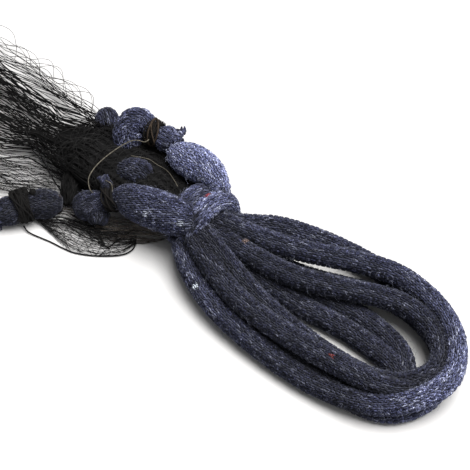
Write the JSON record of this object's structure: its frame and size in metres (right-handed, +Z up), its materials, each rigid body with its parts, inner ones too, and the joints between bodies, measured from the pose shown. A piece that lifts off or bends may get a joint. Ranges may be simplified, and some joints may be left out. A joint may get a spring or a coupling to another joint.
{
  "type": "bird netting",
  "caption": "Bunched end of a fine black bird net, lashed to knitted cord end loops that lie together in a hank, with the open mesh fanning out flat.",
  "frame": {"origin": "on the floor under the turns of cord that hold the neck of the hank", "axes": "+X along the bundle towards the tip of the hank, the net to -X, +Z up from the floor"},
  "size_m": [0.1957, 0.0608, 0.0212],
  "materials": {
    "cord": "heathered knitted cord",
    "lashing": "waxed thread",
    "net": "fine nylon thread"
  },
  "bodies": {
    "root": {"loop_hank": "cord", "neck_wrap": "cord", "upper_end": "cord", "lower_end": "cord", "inner_end": "cord", "top_knot": "cord", "side_knob": "cord", "left_end": "cord", "lashing_upper": "lashing", "lashing_lower": "lashing", "lashing_left": "lashing", "net_main": "net", "net_low": "net"}
  },
  "joints": []
}
